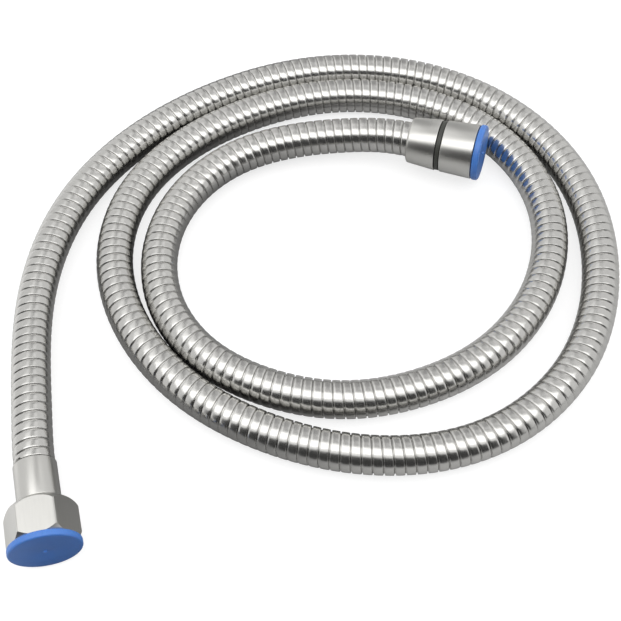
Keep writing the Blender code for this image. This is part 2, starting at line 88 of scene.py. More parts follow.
# The hose, in millimetres; its route is x and y in plan and the lift off the floor.
hose = {
    "diameter": 15.5,
    "pitch": 3.95,          # one turn of the strip
    "relief": 0.82,         # depth of the groove between turns
    "stripWidth": 4.0,
    "bore": 5.97,
    "columns": 28,          # points round one turn
    "start": 35.5,          # behind the hexagon end's face
    "end": 27.7,            # behind the conical end's face
    "straight": 9.0,        # straight length in front of the conical end
    "samples": 900,
    "weld": 0.002,
    "route": [
        (-92.0, -42.8, 4.1),
        (-98.2, 14.2, 0.7),
        (-88.0, 62.5, 0.0),
        (-61.0, 100.5, 0.0),
        (-25.9, 125.9, 0.0),
        (15.0, 140.5, 0.0),
        (60.1, 139.8, 0.0),
        (104.5, 118.3, 0.0),
        (133.4, 78.5, 0.0),
        (139.3, 27.6, 0.0),
        (122.8, -19.5, 0.0),
        (85.9, -50.9, 0.0),
        (41.0, -58.7, 0.0),
        (1.6, -50.1, 0.0),
        (-30.9, -32.0, 0.0),
        (-55.0, -4.9, 0.0),
        (-67.4, 31.0, 0.0),
        (-61.9, 67.3, 0.0),
        (-39.8, 96.8, 0.0),
        (-9.7, 116.0, 0.0),
        (26.1, 126.0, 0.0),
        (65.5, 121.8, 0.0),
        (101.4, 98.9, 0.0),
        (119.3, 60.3, 0.0),
        (113.1, 18.6, 0.0),
        (89.9, -12.7, 0.0),
        (59.0, -29.7, 0.0),
        (27.1, -34.8, 0.0),
        (-2.0, -28.9, 0.0),
        (-26.4, -14.9, 0.0),
        (-44.4, 10.8, 0.0),
        (-48.1, 38.9, 0.1),
        (-38.7, 66.4, 0.6),
        (-16.6, 87.5, 1.5),
        (5.4, 95.5, 2.6),
        (30.7, 98.1, 4.1),
    ],
}


# A smooth cubic through all the points, with its direction given at both ends.
def cubicThrough(points, startDirection, endDirection):
    places = np.array(points)
    chords = np.linalg.norm(np.diff(places, axis=0), axis=1)
    marks = np.concatenate(([0.0], np.cumsum(chords)))
    count = len(places)
    matrix = np.zeros((count, count))
    right = np.zeros((count, 3))
    matrix[0, 0] = 1.0
    matrix[-1, -1] = 1.0
    right[0] = startDirection
    right[-1] = endDirection
    for row in range(1, count - 1):
        before = chords[row - 1]
        after = chords[row]
        matrix[row, row - 1] = after
        matrix[row, row] = 2 * (before + after)
        matrix[row, row + 1] = before
        stepBefore = (places[row] - places[row - 1]) / before
        stepAfter = (places[row + 1] - places[row]) / after
        right[row] = 3 * (after * stepBefore + before * stepAfter)
    slopes = np.linalg.solve(matrix, right)

    def at(mark):
        index = int(np.clip(np.searchsorted(marks, mark) - 1, 0, count - 2))
        span = chords[index]
        t = (mark - marks[index]) / span
        return (
            (2 * t**3 - 3 * t**2 + 1) * places[index]
            + (t**3 - 2 * t**2 + t) * span * slopes[index]
            + (-2 * t**3 + 3 * t**2) * places[index + 1]
            + (t**3 - t**2) * span * slopes[index + 1]
        )

    return marks, at


def hoseLine():
    rest = hose["diameter"] / 2
    start = hexFrame @ Vector((0, 0, -hose["start"] * mm))
    end = coneFrame @ Vector((0, 0, -hose["end"] * mm))
    lead = coneFrame @ Vector((0, 0, -(hose["end"] + hose["straight"]) * mm))
    free = [(x * mm, y * mm, (lift + rest) * mm) for x, y, lift in hose["route"]]
    leaving = -(hexFrame.to_3x3() @ Vector((0, 0, 1)))
    arriving = coneFrame.to_3x3() @ Vector((0, 0, 1))
    marks, at = cubicThrough([tuple(start)] + free + [tuple(lead), tuple(end)], leaving, arriving)
    line = np.array([at(mark) for mark in np.linspace(0.0, marks[-1], hose["samples"])])
    length = float(np.linalg.norm(np.diff(line, axis=0), axis=1).sum())
    return line, length


line, hoseLength = hoseLine()
print("hose line", round(hoseLength, 4), "m")


# An input may be a node, whose first output is linked, a socket, or a plain value.
def setInputs(tree, node, inputs):
    for key, value in inputs.items():
        if isinstance(value, bpy.types.Node):
            value = value.outputs[0]
        if isinstance(value, bpy.types.NodeSocket):
            tree.links.new(value, node.inputs[key])
        else:
            node.inputs[key].default_value = value


# Adds a node of any kind, with its inputs in order or by name. A shader node's kind may leave off
# ShaderNode, and an operation may follow a full stop.
def addNode(tree, kind, *given, **settings):
    kind, _, operation = kind.partition(".")
    node = tree.nodes.new(kind if "Node" in kind else "ShaderNode" + kind)
    if operation:
        node.operation = operation
    for key, value in settings.items():
        setattr(node, key, value)
    byName = given and isinstance(given[0], dict)
    setInputs(tree, node, given[0] if byName else dict(enumerate(given)))
    return node


# sRGB hex to Blender's linear colour.
def linear(hexColour):
    values = [int(hexColour[i:i + 2], 16) / 255 for i in (0, 2, 4)]
    return tuple(v / 12.92 if v <= 0.04045 else ((v + 0.055) / 1.055) ** 2.4 for v in values)


def newMaterial(name):
    material = bpy.data.materials.new(name)
    material.use_nodes = True
    return material, material.node_tree, material.node_tree.nodes["Principled BSDF"]


bumpHeight = 0.2 * mm    # full height of a bump, before its strength


# Armour strip: stainless steel, cold rolled and wound. Rolling leaves a satin mirror with fine lines
# along the strip, and each turn takes the light a little differently.
strip = {
    "colour": "CAC9C6",
    "roughness": 0.15,
    "linesAlong": 0.05,          # times lineScale: a line is 9 mm long
    "linesAcross": 6.0,          # times lineScale: 0.08 mm apart, finer than a pixel, so it only softens
    "lineScale": 2.2,
    "lineShade": 0.10,
    "lineRoughness": 0.10,
    "lineBump": 0.05,
    "turnShade": 0.05,
    "patchesPerMetre": 60.0,     # patches of 17 mm, where hands and winding have dulled the strip
    "patchRoughness": 0.06,
}


def stripMaterial():
    material, tree, shader = newMaterial("stainless_strip_rolled")
    place = addNode(tree, "Attribute", attribute_name="strip").outputs["Vector"]
    along, across, turn = addNode(tree, "SeparateXYZ", place).outputs
    streak = addNode(tree, "CombineXYZ",
                     addNode(tree, "Math.MULTIPLY", along, strip["linesAlong"]),
                     addNode(tree, "Math.MULTIPLY", across, strip["linesAcross"]), turn)
    lines = addNode(tree, "TexNoise", {
        "Vector": streak, "Scale": strip["lineScale"], "Detail": 3.0, "Roughness": 0.6})
    number = addNode(tree, "Math.FLOOR", turn)
    turns = addNode(tree, "TexWhiteNoise", {"W": number}, noise_dimensions="1D")
    patches = addNode(tree, "TexNoise", {
        "Vector": addNode(tree, "TexCoord").outputs["Object"],
        "Scale": strip["patchesPerMetre"], "Detail": 2.0})
    shade = addNode(tree, "Math.MULTIPLY",
                    addNode(tree, "Math.MULTIPLY_ADD", turns.outputs["Value"],
                            strip["turnShade"], 1.0 - strip["turnShade"] / 2),
                    addNode(tree, "Math.MULTIPLY_ADD", lines,
                            strip["lineShade"], 1.0 - strip["lineShade"] / 2))
    rough = addNode(tree, "Math.MULTIPLY_ADD", lines, strip["lineRoughness"], strip["roughness"])
    rough = addNode(tree, "Math.MULTIPLY_ADD", patches, strip["patchRoughness"], rough)
    setInputs(tree, shader, {
        "Metallic": 1.0,
        "Base Color": addNode(tree, "VectorMath.SCALE", {0: linear(strip["colour"]), "Scale": shade}),
        "Roughness": rough,
        "Normal": addNode(tree, "Bump", {
            "Height": lines, "Strength": strip["lineBump"], "Distance": bumpHeight}),
    })
    return material


# Nuts, ferrule and shell: stainless steel, turned and satin finished. The tool leaves lines round the
# axis, and on the flats along it, which draw the highlights out across them.
turnedSteel = {
    "colour": "CCCBC7",
    "roughness": 0.23,
    "linesAlong": 0.06,          # per mm of the UV map: a line is 17 mm long
    "linesAcross": 9.0,          # per mm of the UV map: 0.11 mm apart
    "lineShade": 0.12,
    "lineRoughness": 0.06,
    "lineBump": 0.018,
    "patchesPerMetre": 90.0,     # patches of 11 mm
    "patchRoughness": 0.08,
}


def turnedSteelMaterial():
    material, tree, shader = newMaterial("stainless_turned_satin")
    along, across = addNode(tree, "SeparateXYZ", addNode(tree, "UVMap")).outputs[:2]
    streak = addNode(tree, "CombineXYZ",
                     addNode(tree, "Math.MULTIPLY", along, turnedSteel["linesAlong"]),
                     addNode(tree, "Math.MULTIPLY", across, turnedSteel["linesAcross"]))
    lines = addNode(tree, "TexNoise", {
        "Vector": streak, "Scale": 1.0, "Detail": 4.0, "Roughness": 0.65})
    patches = addNode(tree, "TexNoise", {
        "Vector": addNode(tree, "TexCoord").outputs["Object"],
        "Scale": turnedSteel["patchesPerMetre"], "Detail": 3.0})
    shade = addNode(tree, "Math.MULTIPLY_ADD", lines,
                    turnedSteel["lineShade"], 1.0 - turnedSteel["lineShade"] / 2)
    rough = addNode(tree, "Math.MULTIPLY_ADD", lines,
                    turnedSteel["lineRoughness"], turnedSteel["roughness"])
    rough = addNode(tree, "Math.MULTIPLY_ADD", patches, turnedSteel["patchRoughness"], rough)
    setInputs(tree, shader, {
        "Metallic": 1.0,
        "Base Color": addNode(tree, "VectorMath.SCALE", {
            0: linear(turnedSteel["colour"]), "Scale": shade}),
        "Roughness": rough,
        "Normal": addNode(tree, "Bump", {
            "Height": lines, "Strength": turnedSteel["lineBump"], "Distance": bumpHeight}),
    })
    return material


# What all the moulded and extruded pieces share.
moulded = {
    "grainPerMetre": 1800.0,     # 0.6 mm, coarser than a mould's own grain so that it shows
    "grainRoughness": 0.12,
    "cloudsPerMetre": 120.0,     # 8 mm clouds of uneven colour
    "cloudShade": 0.16,
}


def mouldedMaterial(name, hexColour, roughness, grain, subsurface=0.0):
    material, tree, shader = newMaterial(name)
    place = addNode(tree, "TexCoord").outputs["Object"]
    fine = addNode(tree, "TexNoise", {
        "Vector": place, "Scale": moulded["grainPerMetre"], "Detail": 2.0})
    cloud = addNode(tree, "TexNoise", {
        "Vector": place, "Scale": moulded["cloudsPerMetre"], "Detail": 3.0})
    shade = addNode(tree, "Math.MULTIPLY_ADD", cloud,
                    moulded["cloudShade"], 1.0 - moulded["cloudShade"] / 2)
    setInputs(tree, shader, {
        "Base Color": addNode(tree, "VectorMath.SCALE", {0: linear(hexColour), "Scale": shade}),
        "Roughness": addNode(tree, "Math.MULTIPLY_ADD", fine, moulded["grainRoughness"],
                             roughness - moulded["grainRoughness"] / 2),
        "Normal": addNode(tree, "Bump", {"Height": fine, "Strength": grain, "Distance": bumpHeight}),
        "Subsurface Weight": subsurface,
        "Subsurface Scale": 1.0 * mm,
    })
    return material


# Tails and stem: brass, turned. Warm yellow with a soft shine.
turnedBrass = {
    "colour": "C9A45C",
    "roughness": 0.25,
    "patchesPerMetre": 300.0,    # patches of 3 mm, where it has tarnished
    "patchShade": 0.2,
    "patchRoughness": 0.15,
}


def brassMaterial():
    material, tree, shader = newMaterial("brass_turned")
    patch = addNode(tree, "TexNoise", {
        "Vector": addNode(tree, "TexCoord").outputs["Object"],
        "Scale": turnedBrass["patchesPerMetre"], "Detail": 4.0})
    shade = addNode(tree, "Math.MULTIPLY_ADD", patch,
                    turnedBrass["patchShade"], 1.0 - turnedBrass["patchShade"] / 2)
    setInputs(tree, shader, {
        "Metallic": 1.0,
        "Base Color": addNode(tree, "VectorMath.SCALE", {
            0: linear(turnedBrass["colour"]), "Scale": shade}),
        "Roughness": addNode(tree, "Math.MULTIPLY_ADD", patch,
                             turnedBrass["patchRoughness"], turnedBrass["roughness"]),
    })
    return material


steelStrip = stripMaterial()
satinSteel = turnedSteelMaterial()
# Caps: soft polyethylene, injection moulded. A satin skin that lets a little light in.
bluePlastic = mouldedMaterial("polyethylene_blue_moulded", "4679C6", 0.36, 0.06, 0.1)
# Bearing ring: acetal, turned. Dull and almost black.
darkPlastic = mouldedMaterial("acetal_dark_turned", "3A3B36", 0.45, 0.04)
# Inner tube: rubber, extruded. Matt black.
tubeRubber = mouldedMaterial("rubber_tube_extruded", "262626", 0.7, 0.10)
# Washers and O-ring: rubber, pressed. Matt, a shade lighter.
washerRubber = mouldedMaterial("rubber_washer_pressed", "2B2B2B", 0.65, 0.10)
brass = brassMaterial()
print("materials made")


# One turn of the strip, as (place across the pitch, height): a narrow groove and a flat-crowned ridge.
stripSection = [
    (0.000, 0.00),
    (0.100, 0.00),
    (0.125, 0.84),
    (0.160, 0.925),
    (0.330, 0.985),
    (0.720, 0.990),
    (0.920, 0.925),
    (0.955, 0.84),
    (0.980, 0.00),
]


# The helix runs past both ends of the hose and is gathered there. All in turns, but for the drop.
helixEnd = {
    "spare": 2.0,           # turns before the start
    "spareInAll": 4,
    "lipFrom": 0.45,        # past an end by this much, the wall turns in to the bore
    "closedFrom": 0.80,     # and from here it closes on the axis
    "drop": 0.2,            # the end's edge lies this share of the relief under the ridges
}


# A grid whose rows are the strip's section, turn after turn, wrapped round the route as one helix.
def armourTree():
    tree = bpy.data.node_groups.new("wound_armour", "GeometryNodeTree")
    face = tree.interface
    face.new_socket("Route", in_out="INPUT", socket_type="NodeSocketGeometry")
    for name in ("Radius", "Pitch", "Relief", "Bore", "Length"):
        face.new_socket(name, in_out="INPUT", socket_type="NodeSocketFloat")
    for name in ("Rows", "Columns"):
        face.new_socket(name, in_out="INPUT", socket_type="NodeSocketInt")
    face.new_socket("Strip Material", in_out="INPUT", socket_type="NodeSocketMaterial")
    face.new_socket("Armour", in_out="OUTPUT", socket_type="NodeSocketGeometry")
    given = addNode(tree, "NodeGroupInput").outputs
    across = addNode(tree, "Math.ADD", given["Columns"], 1.0)
    grid = addNode(tree, "GeometryNodeMeshGrid", {
        "Size X": 1.0, "Size Y": 1.0, "Vertices X": given["Rows"], "Vertices Y": across})
    index = addNode(tree, "GeometryNodeInputIndex").outputs[0]
    row = addNode(tree, "Math.FLOOR", addNode(tree, "Math.DIVIDE", index, across))
    column = addNode(tree, "Math.SUBTRACT", index, addNode(tree, "Math.MULTIPLY", row, across))
    around = addNode(tree, "Math.DIVIDE", column, given["Columns"])
    steps = float(len(stripSection))
    middle = addNode(tree, "Math.ADD", row, 0.5)
    turn = addNode(tree, "Math.FLOOR", addNode(tree, "Math.DIVIDE", middle, steps))
    step = addNode(tree, "Math.SUBTRACT", row, addNode(tree, "Math.MULTIPLY", turn, steps))
    offset = None
    height = None
    for number, (place, rise) in enumerate(stripSection):
        chosen = addNode(tree, "Math.COMPARE", step, float(number), 0.25)
        partOffset = addNode(tree, "Math.MULTIPLY", chosen, place)
        partHeight = addNode(tree, "Math.MULTIPLY", chosen, rise)
        offset = partOffset if offset is None else addNode(tree, "Math.ADD", offset, partOffset)
        height = partHeight if height is None else addNode(tree, "Math.ADD", height, partHeight)
    wound = addNode(tree, "Math.ADD", addNode(tree, "Math.ADD", turn, offset), around)
    fromStart = addNode(tree, "Math.SUBTRACT", wound, helixEnd["spare"])
    raw = addNode(tree, "Math.MULTIPLY", fromStart, given["Pitch"])
    along = addNode(tree, "Math.MINIMUM", addNode(tree, "Math.MAXIMUM", raw, 0.0), given["Length"])
    outer = addNode(tree, "Math.SUBTRACT", given["Radius"], addNode(
        tree, "Math.MULTIPLY", given["Relief"], addNode(tree, "Math.SUBTRACT", 1.0, height)))
    before = addNode(tree, "Math.SUBTRACT", along, raw)
    beyond = addNode(tree, "Math.SUBTRACT", raw, along)
    past = addNode(tree, "Math.ADD", before, beyond)
    near = addNode(tree, "Math.GREATER_THAN", past, 0.0)
    far = addNode(tree, "Math.GREATER_THAN", past, addNode(
        tree, "Math.MULTIPLY", given["Pitch"], helixEnd["lipFrom"]))
    closed = addNode(tree, "Math.GREATER_THAN", past, addNode(
        tree, "Math.MULTIPLY", given["Pitch"], helixEnd["closedFrom"]))
    full = addNode(tree, "Math.SUBTRACT", given["Radius"], addNode(
        tree, "Math.MULTIPLY", given["Relief"], helixEnd["drop"]))
    edge = addNode(tree, "Math.ADD", addNode(tree, "Math.MULTIPLY", full, near), addNode(
        tree, "Math.MULTIPLY", outer, addNode(tree, "Math.SUBTRACT", 1.0, near)))
    lip = addNode(tree, "Math.ADD", addNode(tree, "Math.MULTIPLY", given["Bore"], far), addNode(
        tree, "Math.MULTIPLY", edge, addNode(tree, "Math.SUBTRACT", 1.0, far)))
    radius = addNode(tree, "Math.MULTIPLY", lip, addNode(tree, "Math.SUBTRACT", 1.0, closed))
    sample = addNode(tree, "GeometryNodeSampleCurve", {
        "Curves": given["Route"], "Length": along}, mode="LENGTH", use_all_curves=True)
    normal = sample.outputs["Normal"]
    side = addNode(tree, "VectorMath.CROSS_PRODUCT", sample.outputs["Tangent"], normal)
    angle = addNode(tree, "Math.MULTIPLY", around, math.tau)
    partA = addNode(tree, "VectorMath.SCALE", {
        0: normal, "Scale": addNode(tree, "Math.MULTIPLY", radius, addNode(tree, "Math.COSINE", angle))})
    partB = addNode(tree, "VectorMath.SCALE", {
        0: side, "Scale": addNode(tree, "Math.MULTIPLY", radius, addNode(tree, "Math.SINE", angle))})
    place = addNode(tree, "VectorMath.ADD", sample.outputs["Position"], partA)
    place = addNode(tree, "VectorMath.ADD", place, partB)
    moved = addNode(tree, "GeometryNodeSetPosition", {
        "Geometry": grid, "Position": place})
    turned = addNode(tree, "Math.ADD", turn, around)
    wayAlong = addNode(tree, "Math.MULTIPLY", turned, math.pi * hose["diameter"])
    wayAcross = addNode(tree, "Math.MULTIPLY", offset, hose["stripWidth"])
    strips = addNode(tree, "CombineXYZ", wayAlong, wayAcross, turned)
    stored = addNode(tree, "GeometryNodeStoreNamedAttribute", {
        "Geometry": moved, "Name": "strip", "Value": strips},
        data_type="FLOAT_VECTOR", domain="CORNER")
    merged = addNode(tree, "GeometryNodeMergeByDistance", {
        "Geometry": stored, "Distance": hose["weld"] * mm})
    smooth = addNode(tree, "GeometryNodeSetShadeSmooth", {"Geometry": merged})
    real = addNode(tree, "GeometryNodeRealizeInstances", {"Geometry": smooth})
    coated = addNode(tree, "GeometryNodeSetMaterial", {
        "Geometry": real, "Material": given["Strip Material"]})
    addNode(tree, "NodeGroupOutput", {"Armour": coated})
    return tree


def routeCurve(points):
    curve = bpy.data.curves.new("hose_route", "CURVE")
    curve.dimensions = "3D"
    curve.twist_mode = "Z_UP"
    spline = curve.splines.new("POLY")
    spline.points.add(len(points) - 1)
    for point, place in zip(spline.points, points):
        point.co = (*place, 1.0)
    obj = bpy.data.objects.new("hose_route", curve)
    bpy.context.scene.collection.objects.link(obj)
    return obj


def treeResult(obj, tree, values, name):
    modifier = obj.modifiers.new("tree", "NODES")
    modifier.node_group = tree
    for item in tree.interface.items_tree:
        if item.item_type == "SOCKET" and item.in_out == "INPUT" and item.name in values:
            modifier[item.identifier] = values[item.name]
    depsgraph = bpy.context.evaluated_depsgraph_get()
    mesh = bpy.data.meshes.new_from_object(obj.evaluated_get(depsgraph))
    mesh.name = name
    bpy.data.objects.remove(obj, do_unlink=True)
    piece = bpy.data.objects.new(name, mesh)
    bpy.context.scene.collection.objects.link(piece)
    return piece


def addArmour():
    turns = hoseLength / (hose["pitch"] * mm)
    rows = int((math.ceil(turns) + helixEnd["spareInAll"]) * len(stripSection)) + 1
    piece = treeResult(routeCurve(line), armourTree(), {
        "Radius": hose["diameter"] / 2 * mm,
        "Pitch": hose["pitch"] * mm,
        "Relief": hose["relief"] * mm,
        "Bore": hose["bore"] * mm,
        "Length": hoseLength,
        "Rows": rows,
        "Columns": hose["columns"],
        "Strip Material": steelStrip,
    }, "armour_strip")
    print("armour", len(piece.data.vertices), "points", len(piece.data.polygons), "faces")
    return piece


armour = addArmour()


# Profiles are (radius, height) in millimetres, running round the piece's section. Heights are ahead of
# the end's face, so most are below nought. This one rounds every corner that is off the axis.
def softened(profile, radius, steps=2):
    count = len(profile)
    points = []
    for index, corner in enumerate(profile):
        here = Vector(corner)
        before = Vector(profile[index - 1])
        after = Vector(profile[(index + 1) % count])
        toBefore = before - here
        toAfter = after - here
        if here.x < 1e-6 or toBefore.length < 1e-6 or toAfter.length < 1e-6:
            points.append((here.x, here.y))
            continue
        reach = min(radius, toBefore.length * 0.4, toAfter.length * 0.4)
        first = here + toBefore.normalized() * reach
        last = here + toAfter.normalized() * reach
        for step in range(steps + 1):
            t = step / steps
            spot = first * (1 - t) ** 2 + here * 2 * t * (1 - t) + last * t**2
            points.append((spot.x, spot.y))
    return points


uvRadius = 10.0    # mm; the UV map is in millimetres at this radius


# Turns a profile round its axis and moves it to its place; shape may change the radius with the angle.
def turnedPiece(name, profile, place, segments, material, shape=None):
    bm = bmesh.new()
    layer = bm.loops.layers.uv.new("UVMap")
    rings = []
    travelled = [0.0]
    for start, end in zip(profile, profile[1:] + profile[:1]):
        travelled.append(travelled[-1] + math.dist(start, end))
    for radius, height in profile:
        if radius < 1e-6:
            rings.append([bm.verts.new((0.0, 0.0, height * mm))] * segments)
            continue
        ring = []
        for step in range(segments):
            angle = math.tau * step / segments
            r = radius if shape is None else shape(radius, height, angle)
            ring.append(bm.verts.new((r * math.cos(angle) * mm, r * math.sin(angle) * mm, height * mm)))
        rings.append(ring)
    for index in range(len(rings)):
        here = rings[index]
        there = rings[(index + 1) % len(rings)]
        for step in range(segments):
            following = (step + 1) % segments
            corners = [
                (here[step], step, index),
                (here[following], step + 1, index),
                (there[following], step + 1, index + 1),
                (there[step], step, index + 1),
            ]
            kept = []
            for corner in corners:
                if all(corner[0] is not other[0] for other in kept):
                    kept.append(corner)
            if len(kept) < 3:
                continue
            face = bm.faces.new([corner[0] for corner in kept])
            for loop, corner in zip(face.loops, kept):
                around = math.tau * corner[1] / segments * uvRadius
                loop[layer].uv = (around, travelled[corner[2]])
    bmesh.ops.recalc_face_normals(bm, faces=bm.faces)
    bmesh.ops.transform(bm, matrix=place, verts=bm.verts)
    return meshPiece(name, bm, material)


def meshPiece(name, bm, material, sharpDeg=35.0):
    mesh = bpy.data.meshes.new(name)
    bm.to_mesh(mesh)
    bm.free()
    mesh.shade_smooth()
    mesh.set_sharp_from_angle(angle=math.radians(sharpDeg))
    mesh.materials.append(material)
    piece = bpy.data.objects.new(name, mesh)
    bpy.context.scene.collection.objects.link(piece)
    return piece


def addPiece(piece, body, slotName, *replaced):
    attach(piece, body)
    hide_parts(*replaced)
    return piece


# A quarter round from (radius, height), going in by across and down by down.
def quarter(radius, height, across, down, steps):
    points = []
    for step in range(steps + 1):
        angle = math.radians(90 * step / steps)
        points.append((radius - across * (1 - math.cos(angle)), height - down * math.sin(angle)))
    return points


# Half-inch pipe thread, cut as rings, with the bore and seat that both nuts share, in millimetres.
thread = {
    "radius": 10.1,
    "pitch": 1.814,
    "depth": 0.75,
    "runIn": 0.4,
    "runOut": 0.2,
    "mouthStep": 0.6,       # the mouth is this much wider than the crests
    "neck": 6.8,            # hole for the tail in the nut's back
    "web": 3.0,             # thickness of the hexagon nut's back
}


def threadedBore(front, seat):
    points = []
    count = int((front - seat - thread["runIn"] - thread["runOut"]) / (thread["pitch"] / 2))
    for step in range(count + 1):
        height = seat + thread["runIn"] + step * thread["pitch"] / 2
        crest = step % 2 == 0
        radius = thread["radius"] if crest else thread["radius"] + thread["depth"]
        points.append((radius, height))
    return points


# Hexagon nut, in millimetres behind the face; the edges are (in from the corner, behind).
hexNutSizes = {
    "acrossFlats": 24.0,
    "front": 3.0,
    "back": 19.0,
    "blankRoom": 0.1,       # the turned blank stands past the corners
    "mouthEdge": [(1.75, 3.0), (1.5, 3.08), (0.0, 4.9)],
    "rearEdge": [(0.0, 13.4), (0.10, 14.3), (0.42, 15.2), (0.98, 16.0), (1.75, 16.8),
                 (2.6, 17.5), (3.5, 18.2), (4.3, 18.75), (4.8, 19.0)],
    "barRoom": 3.0,         # the bar it is milled to stands past both ends
    "cornerRound": 0.35,
    "segments": 144,
    "sharpDeg": 20.0,
    "uvAlong": 1.5,
    "uvAround": 1.8,        # milling lines 0.8 mm apart, coarser than the real ones so that they show
}


def addHexNut():
    front = -hexNutSizes["front"]
    back = -hexNutSizes["back"]
    seat = back + thread["web"]
    reach = hexNutSizes["acrossFlats"] / math.sqrt(3)
    corner = reach + hexNutSizes["blankRoom"]
    profile = [(thread["radius"] + thread["mouthStep"], front)]
    profile += [(corner - inward, -behind) for inward, behind in hexNutSizes["mouthEdge"]]
    profile += [(corner - inward, -behind) for inward, behind in hexNutSizes["rearEdge"]]
    profile += [(thread["neck"], back), (thread["neck"], seat), (thread["radius"], seat)]
    profile += threadedBore(front, seat)
    blank = turnedPiece(
        "hex_nut_blank", profile, Matrix.Identity(4), hexNutSizes["segments"], satinSteel)
    bm = bmesh.new()
    layer = bm.loops.layers.uv.new("UVMap")
    room = hexNutSizes["barRoom"]
    lower = []
    for index in range(6):
        angle = math.radians(60 * index)
        lower.append(bm.verts.new((
            reach * math.cos(angle) * mm, reach * math.sin(angle) * mm, (back - room) * mm)))
    top = bmesh.ops.extrude_face_region(bm, geom=[bm.faces.new(lower)])
    raised = [item for item in top["geom"] if isinstance(item, bmesh.types.BMVert)]
    bmesh.ops.translate(bm, verts=raised, vec=(0, 0, (front - back + 2 * room) * mm))
    bmesh.ops.recalc_face_normals(bm, faces=bm.faces)
    uprights = [edge for edge in bm.edges
                if abs(edge.verts[0].co.z - edge.verts[1].co.z) > room * mm]
    bmesh.ops.bevel(bm, geom=uprights, offset=hexNutSizes["cornerRound"] * mm,
                    segments=3, affect="EDGES", profile=0.5)
    for face in bm.faces:
        for loop in face.loops:
            spot = loop.vert.co / mm
            loop[layer].uv = (spot.z * hexNutSizes["uvAlong"],
                              math.atan2(spot.y, spot.x) * hexNutSizes["uvAround"])
    bar = meshPiece("hex_bar", bm, satinSteel)
    cut = blank.modifiers.new("hexagon", "BOOLEAN")
    cut.operation = "INTERSECT"
    cut.object = bar
    depsgraph = bpy.context.evaluated_depsgraph_get()
    mesh = bpy.data.meshes.new_from_object(blank.evaluated_get(depsgraph))
    for obj in (blank, bar):
        bpy.data.objects.remove(obj, do_unlink=True)
    mesh.transform(hexFrame)
    mesh.name = "hex_nut_milled"
    mesh.shade_smooth()
    mesh.set_sharp_from_angle(angle=math.radians(hexNutSizes["sharpDeg"]))
    piece = bpy.data.objects.new("hex_nut_milled", mesh)
    bpy.context.scene.collection.objects.link(piece)
    return addPiece(piece, "hex_nut", "satin_steel", "hex_nut")


# Ferrule, in millimetres behind the face: a drawn sleeve that closes on the tail in front.
ferruleSizes = {
    "front": 19.3,
    "back": 35.2,
    "radius": 8.2,
    "hoseBore": 5.95,
    "recess": 6.8,          # groove inside, which the tail's collar sits in
    "tailBore": 6.0,
    "frontWall": 1.0,
    "recessTo": 2.8,
    "edge": 0.45,
    "segments": 96,
}


def addFerrule():
    radius = ferruleSizes["radius"]
    front = -ferruleSizes["front"]
    back = -ferruleSizes["back"]
    wall = front - ferruleSizes["frontWall"]
    step = front - ferruleSizes["recessTo"]
    profile = softened([
        (ferruleSizes["tailBore"], front), (radius, front), (radius, back),
        (ferruleSizes["hoseBore"], back), (ferruleSizes["hoseBore"], step),
        (ferruleSizes["recess"], step), (ferruleSizes["recess"], wall),
        (ferruleSizes["tailBore"], wall),
    ], ferruleSizes["edge"], 3)
    piece = turnedPiece("ferrule_drawn", profile, hexFrame, ferruleSizes["segments"], satinSteel)
    return addPiece(piece, "hose", "satin_steel", "hex_ferrule")


# Protective caps, in millimetres. The nib is the stub where the plastic came into the mould.
capSizes = {
    "nib": [(0.0, 0.45), (0.3, 0.41), (0.55, 0.28), (0.72, 0.08), (0.8, -0.08), (1.7, -0.12), (2.2, 0.0)],
    "flatRoom": 0.6,
    "backShare": 0.7,       # the back edge's round as a share of the front edge's
    "plugRoom": 0.3,        # between the plug and the thread's crests
    "plugLength": 6.0,
    "plugFlare": 0.2,
    "plugLead": 0.4,
    "plugWall": 1.2,
    "floor": (1.5, 1.6),    # thickness of the face, at the axis and at the wall
    "ribDepth": 0.12,
}
hexCapSizes = {"face": 0.0, "thick": 2.7, "radius": 13.6, "edge": 0.85, "ribs": 96, "segments": 288}
coneCapSizes = {"face": 3.1, "thick": 2.8, "radius": 12.3, "edge": 0.9, "ribs": 0, "segments": 128}


def addCap(name, place, sizes, body, node):
    face = sizes["face"]
    radius = sizes["radius"]
    edge = sizes["edge"]
    back = face - sizes["thick"]
    backEdge = edge * capSizes["backShare"]
    plug = thread["radius"] - capSizes["plugRoom"]
    inside = plug - capSizes["plugWall"]
    end = back - capSizes["plugLength"]
    profile = [(r, face + rise) for r, rise in capSizes["nib"]]
    profile += [(radius - edge - capSizes["flatRoom"], face)]
    profile += list(reversed(quarter(radius, face - edge, edge, -edge, 5)))
    profile += quarter(radius, back + backEdge, backEdge, backEdge, 3)
    profile += [(plug + capSizes["plugFlare"], back), (plug, back - capSizes["plugFlare"])]
    profile += [(plug, end + capSizes["plugLead"]), (plug - capSizes["plugLead"], end)]
    profile += [(inside, end), (inside, face - capSizes["floor"][1]), (0.0, face - capSizes["floor"][0])]

    def ribbed(r, height, angle):
        if r < radius - 0.05 or sizes["ribs"] == 0:    # only the rim is ribbed
            return r
        return r - capSizes["ribDepth"] * (0.5 - 0.5 * math.cos(angle * sizes["ribs"]))

    piece = turnedPiece(name, profile, place, sizes["segments"], bluePlastic, ribbed)
    return addPiece(piece, body, "blue_plastic", node)


# Conical end, in millimetres behind the mouth: the nut that turns, the ring and the shell.
coneNutSizes = {
    "back": 14.4,
    "mouthRadius": 12.1,
    "rearRadius": 11.45,
    "rearWall": 3.7,
    "edge": 0.35,
    "segments": 128,
}


